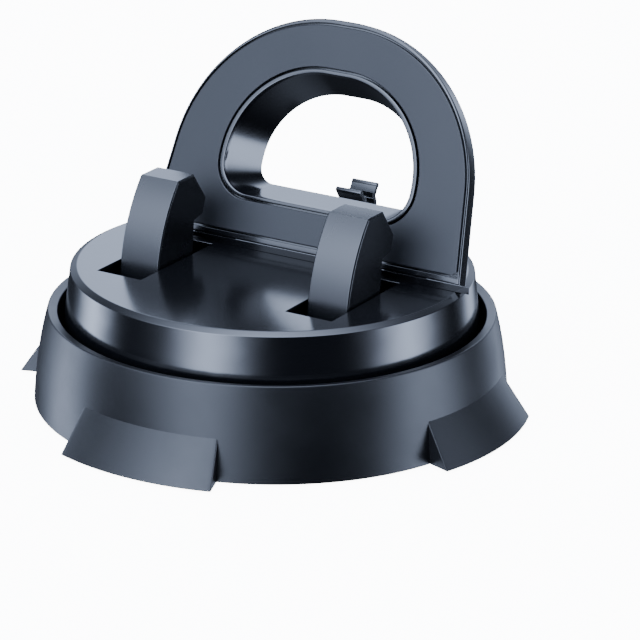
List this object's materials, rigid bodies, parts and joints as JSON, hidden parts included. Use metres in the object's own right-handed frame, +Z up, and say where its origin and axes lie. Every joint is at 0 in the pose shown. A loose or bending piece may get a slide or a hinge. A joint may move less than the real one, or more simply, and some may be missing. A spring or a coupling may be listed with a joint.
{
  "type": "phone mount",
  "caption": "Dashboard phone mount: ring base on wedge feet, turntable with sprung hooks and a leaning back plate with a round-topped opening and a cable clip.",
  "frame": {"origin": "on the ground under the turntable's axis, the middle of the footprint", "axes": "+Z up along the turntable's axis, the hooks on the -Y side, the plate leans towards +Y, +X to the right seen from the hooks"},
  "size_m": [0.095, 0.095, 0.0662],
  "materials": {
    "base_plastic": "fine satin moulding",
    "gloss_black": "polished",
    "satin_black": "satin",
    "soft_pad": "soft matt",
    "grip_rubber": "matt",
    "nylon": "natural",
    "steel": "bright"
  },
  "bodies": {
    "base": {"base_ring": "base_plastic", "foot_pad_right": "grip_rubber", "foot_pad_rear": "grip_rubber", "foot_pad_left": "grip_rubber", "foot_pad_front": "grip_rubber", "base_floor": "base_plastic", "sole_pad": "grip_rubber", "glide_ring": "nylon", "spindle_washer": "steel", "spindle_screw": "steel", "base_screws": "steel"},
    "turntable": {"turntable_shell": "gloss_black", "turntable_cover": "gloss_black", "turntable_screws": "steel", "hinge_pin_left": "steel", "hinge_pin_right": "steel", "friction_washer_left": "steel", "friction_washer_right": "steel", "torsion_spring_left": "steel", "torsion_spring_right": "steel", "hinge_rail": "gloss_black", "cable_clip": "satin_black"},
    "hooks": {"hook_left": "satin_black", "hook_right": "satin_black", "hook_shaft": "steel", "shaft_clip_left": "steel", "shaft_clip_right": "steel"},
    "plate": {"plate_frame": "gloss_black", "plate_pad": "soft_pad", "opening_collar": "gloss_black", "plate_back": "gloss_black", "plate_screws": "steel"}
  },
  "joints": [
    {"name": "turntable_spin", "type": "hinge", "parent": "base", "child": "turntable", "pos_m": [0, 0, 0.0085], "axis": [0, 0, 1], "continuous": true},
    {"name": "hook_swing", "type": "hinge", "parent": "turntable", "child": "hooks", "pos_m": [0, -0.006, 0.0165], "axis": [1, 0, 0], "range_deg": [0, 30], "stiffness_Nm_per_rad": 0.06, "springref_deg": -28.65},
    {"name": "plate_tilt", "type": "hinge", "parent": "turntable", "child": "plate", "pos_m": [0.00305, 0.0085, 0.01976], "axis": [-1, 0, 0], "range_deg": [0, 30]}
  ]
}
